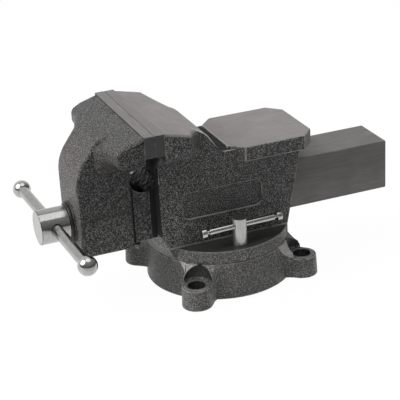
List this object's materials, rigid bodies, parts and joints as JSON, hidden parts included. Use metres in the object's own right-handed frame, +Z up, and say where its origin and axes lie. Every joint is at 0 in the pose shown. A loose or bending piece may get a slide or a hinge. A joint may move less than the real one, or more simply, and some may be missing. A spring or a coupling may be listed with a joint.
{
  "type": "swivel bench vise",
  "caption": "Bench vise on a swivel base: square sliding ram, hardened jaw plates, anvil pad, and a screw with a sliding handle.",
  "frame": {"origin": "on the swivel axis, on the bench surface under the base", "axes": "+X along the screw and ram, from the handle to the ram's end; +Y to the left seen from the handle; +Z up along the swivel axis"},
  "size_m": [0.38, 0.2542, 0.191],
  "materials": {
    "base_casting": "hammer-tone charcoal paint",
    "body_casting": "hammer-tone charcoal paint, anvil face and jaw top machined bare",
    "jaw_casting": "hammer-tone charcoal paint",
    "jaw_plate": "ground, satin",
    "screws": "dark oiled steel",
    "spindle": "turned bright steel",
    "nut_iron": "bare, greased",
    "washers": "zinc plated",
    "spring": "drawn spring wire",
    "handle": "polished",
    "lock_steel": "polished"
  },
  "bodies": {
    "base": {"swivel_base": "base_casting"},
    "vise_body": {"fixed_jaw": "body_casting", "fixed_jaw_plate": "jaw_plate", "fixed_plate_screws": "screws", "spindle_nut": "nut_iron", "nut_bolt": "screws", "nut_bolt_washer": "screws", "lock_nut_near": "nut_iron", "lock_nut_far": "nut_iron"},
    "movable_jaw": {"movable_jaw": "jaw_casting", "movable_jaw_plate": "jaw_plate", "movable_plate_screws": "screws"},
    "spindle": {"spindle": "spindle", "thrust_washer": "washers", "keeper_washer": "washers", "split_pin": "washers", "thrust_spring": "spring"},
    "handle": {"handle_bar": "handle", "handle_ball_near": "handle", "handle_ball_far": "handle"},
    "lock_bolt_near": {"lock_bolt_near": "lock_steel"},
    "lock_bolt_far": {"lock_bolt_far": "lock_steel"},
    "lock_bar_near": {"lock_bar_near": "lock_steel", "lock_bar_caps_near": "lock_steel"},
    "lock_bar_far": {"lock_bar_far": "lock_steel", "lock_bar_caps_far": "lock_steel"}
  },
  "joints": [
    {"name": "swivel", "type": "hinge", "parent": "base", "child": "vise_body", "pos_m": [0, 0, 0.038], "axis": [0, 0, 1], "continuous": true},
    {"name": "jaw_slide", "type": "slide", "parent": "vise_body", "child": "movable_jaw", "axis": [-1, 0, 0], "range_m": [0, 0.15]},
    {"name": "spindle_turn", "type": "hinge", "parent": "movable_jaw", "child": "spindle", "pos_m": [0, 0, 0.0875], "axis": [-1, 0, 0], "range_deg": [0, 9000]},
    {"name": "handle_slide", "type": "slide", "parent": "spindle", "child": "handle", "axis": [0, 0.9988, -0.0488], "range_m": [-0.0925, 0.09]},
    {"name": "lock_bolt_near_turn", "type": "hinge", "parent": "vise_body", "child": "lock_bolt_near", "pos_m": [0, -0.0593, 0.0514], "axis": [0, 0, 1], "range_deg": [-12, 7.5]},
    {"name": "lock_bolt_far_turn", "type": "hinge", "parent": "vise_body", "child": "lock_bolt_far", "pos_m": [0, 0.0593, 0.0514], "axis": [0, 0, 1], "range_deg": [-7.5, 12]},
    {"name": "lock_bar_near_slide", "type": "slide", "parent": "lock_bolt_near", "child": "lock_bar_near", "axis": [0.999, 0.0436, 0], "range_m": [-0.034, 0.029]},
    {"name": "lock_bar_far_slide", "type": "slide", "parent": "lock_bolt_far", "child": "lock_bar_far", "axis": [0.999, -0.0436, 0], "range_m": [-0.034, 0.029]}
  ],
  "couplings": [
    {"joint": "jaw_slide", "follows": "spindle_turn", "m_per_rad": 0.00095492}
  ]
}
